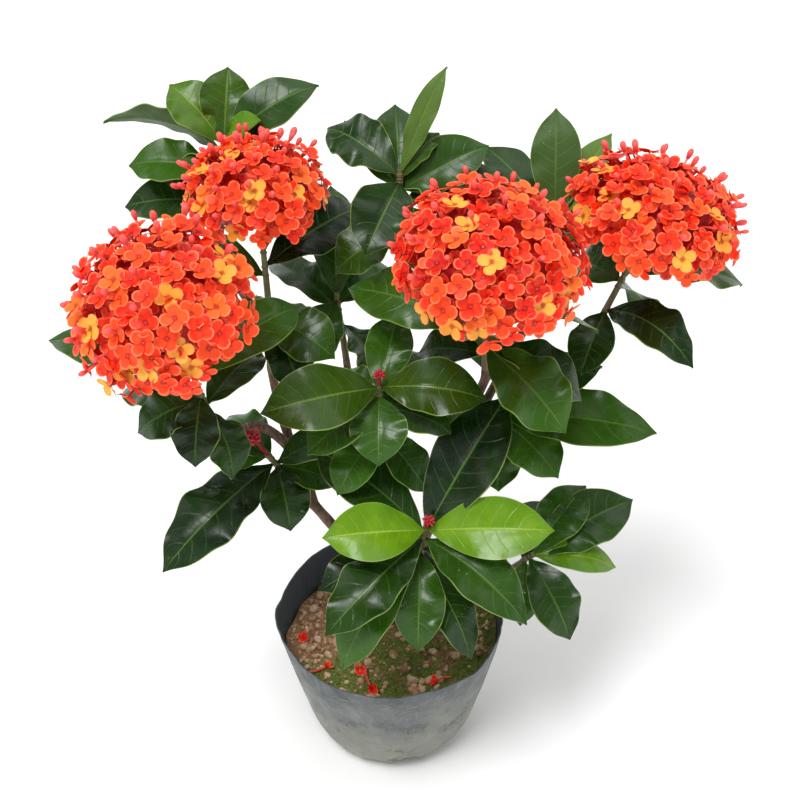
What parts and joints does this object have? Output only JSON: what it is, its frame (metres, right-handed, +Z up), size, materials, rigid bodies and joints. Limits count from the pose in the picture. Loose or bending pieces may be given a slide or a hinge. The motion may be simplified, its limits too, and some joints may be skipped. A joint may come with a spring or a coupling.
{
  "type": "potted ixora",
  "caption": "Flowering ixora shrub with glossy wavy leaves and dense domed heads of small four-petalled orange-red florets, growing in a soft filled nursery grow bag.",
  "frame": {"origin": "centre of the bag's flat bottom, on the surface it rests on", "axes": "+Z up; -Y faces the viewer; +X to the viewer's right"},
  "size_m": [0.4358, 0.2487, 0.4787],
  "materials": {
    "grow_bag": "matte, dusty",
    "soil": "rough, crumbly with moss",
    "woody_stem": "matte bark",
    "leafy_shoot": "waxy, semi-gloss",
    "flower_head": "satin petals",
    "young_bud": "satin",
    "spent_bloom": "matte",
    "fallen_floret": "matte"
  },
  "bodies": {
    "root": {"grow_bag": "grow_bag", "soil": "soil", "woody_stems": "woody_stem", "head_left": "flower_head", "head_back_left": "flower_head", "head_centre": "flower_head", "head_right": "flower_head", "buds_front": "young_bud", "buds_middle": "young_bud", "spent_bloom": "spent_bloom", "fallen_floret_1": "fallen_floret", "fallen_floret_2": "fallen_floret", "fallen_floret_3": "fallen_floret", "fallen_floret_4": "fallen_floret", "fallen_floret_5": "fallen_floret", "shoot_front": "leafy_shoot", "shoot_middle": "leafy_shoot", "shoot_left": "leafy_shoot", "shoot_right": "leafy_shoot", "shoot_low_right": "leafy_shoot", "shoot_head_left": "leafy_shoot", "shoot_head_back_left": "leafy_shoot", "shoot_high_left": "leafy_shoot", "shoot_back": "leafy_shoot", "shoot_head_centre": "leafy_shoot", "shoot_head_right": "leafy_shoot", "shoot_back_left": "leafy_shoot", "shoot_back_right": "leafy_shoot"}
  },
  "joints": []
}
